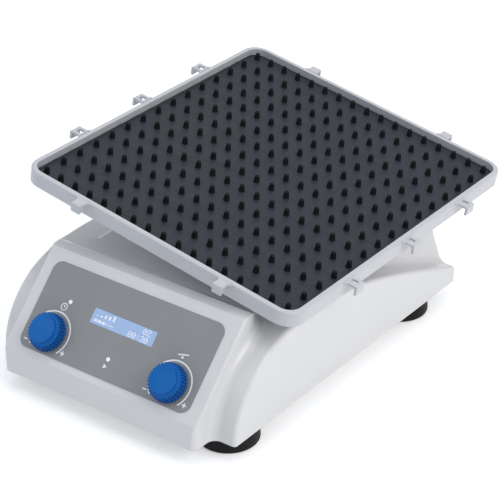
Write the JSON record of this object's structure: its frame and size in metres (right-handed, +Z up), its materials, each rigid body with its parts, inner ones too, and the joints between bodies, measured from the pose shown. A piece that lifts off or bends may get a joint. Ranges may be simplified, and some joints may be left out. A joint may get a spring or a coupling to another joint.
{
  "type": "platform rocker",
  "caption": "Bench-top platform rocker: a tray with a peg mat tilts to and fro on a shaft above a moulded housing with a sloped control console, knobs and a display.",
  "frame": {"origin": "middle of the overall length and width, on the surface that the feet stand on", "axes": "+X to the right as the operator faces the console, +Y to the back along the rocker shaft, +Z up"},
  "size_m": [0.2853, 0.3879, 0.1561],
  "materials": {
    "housing": "fine satin moulded plastic, light grey white",
    "tray": "satin moulded plastic, cool light grey",
    "mat": "matt dark slate rubber",
    "feet": "black rubber",
    "overlay": "mid grey printed film with white marks",
    "window": "clear display lens",
    "display": "pale blue lit display",
    "lamp": "white diffusing lens",
    "knob": "blue satin plastic",
    "steel": "bright zinc and ground steel",
    "aluminium": "machined aluminium",
    "bracket": "grey coated sheet steel",
    "circuit_board": "green solder mask",
    "black_plastic": "black plastic",
    "brass": "plain brass"
  },
  "bodies": {
    "base": {"base_plate": "bracket", "base_plate_screws": "steel", "bearing_block_screws": "steel", "bracket_screws": "steel", "capacitors": "black_plastic", "control_board": "circuit_board", "control_board_screws": "steel", "display_module": "display", "display_window": "window", "driver_board": "circuit_board", "driver_board_screws": "steel", "driver_board_spacers": "black_plastic", "foot_back_left": "feet", "foot_back_right": "feet", "foot_front_left": "feet", "foot_front_right": "feet", "foot_screws": "steel", "front_bearing": "steel", "front_bearing_block": "aluminium", "gearbox": "steel", "heatsink": "aluminium", "inlet_nut": "brass", "motor": "steel", "motor_bracket": "bracket", "motor_screws": "steel", "panel_overlay": "overlay", "power_inlet": "black_plastic", "rear_bearing": "steel", "rear_bearing_block": "aluminium", "run_lamp": "lamp", "speed_encoder": "black_plastic", "switch_frame": "black_plastic", "timer_encoder": "black_plastic", "timer_lamp": "lamp", "upper_housing": "housing"},
    "platform": {"rocker_shaft": "steel", "shaft_rings": "steel", "tray": "tray", "tray_screws": "steel", "peg_mat": "mat", "saddle": "aluminium", "drive_fork": "aluminium", "fork_screws": "steel"},
    "crank": {"crank_disc": "aluminium", "crank_pin": "steel", "crank_roller": "steel", "motor_shaft": "steel"},
    "timer_plunger": {"timer_plunger": "black_plastic"},
    "timer_knob": {"timer_shaft": "steel", "timer_knob": "knob"},
    "speed_plunger": {"speed_plunger": "black_plastic"},
    "speed_knob": {"speed_shaft": "steel", "speed_knob": "knob"},
    "power_switch": {"switch_rocker": "black_plastic"}
  },
  "joints": [
    {"name": "platform_rock", "type": "hinge", "parent": "base", "child": "platform", "pos_m": [0, 0.032, 0.1104], "axis": [0, 1, 0], "range_deg": [-20, 0]},
    {"name": "crank_turn", "type": "hinge", "parent": "base", "child": "crank", "pos_m": [0, 0.032, 0.06608], "axis": [0, 1, 0], "range_deg": [-180, 0]},
    {"name": "timer_push", "type": "slide", "parent": "base", "child": "timer_plunger", "axis": [0, 0.7169, -0.6972], "range_m": [0, 0.0008], "stiffness_N_per_m": 4000},
    {"name": "timer_turn", "type": "hinge", "parent": "timer_plunger", "child": "timer_knob", "pos_m": [-0.06, -0.17506, 0.0509], "axis": [0, -0.7169, 0.6972], "continuous": true},
    {"name": "speed_push", "type": "slide", "parent": "base", "child": "speed_plunger", "axis": [0, 0.7169, -0.6972], "range_m": [0, 0.0008], "stiffness_N_per_m": 4000},
    {"name": "speed_turn", "type": "hinge", "parent": "speed_plunger", "child": "speed_knob", "pos_m": [0.06, -0.17506, 0.0509], "axis": [0, -0.7169, 0.6972], "continuous": true},
    {"name": "power_rock", "type": "hinge", "parent": "base", "child": "power_switch", "pos_m": [0.04, 0.14, 0.056], "axis": [1, 0, 0], "range_deg": [-16, 0]}
  ],
  "couplings": [
    {"joint": "crank_turn", "follows": "platform_rock", "ratio": 9}
  ]
}
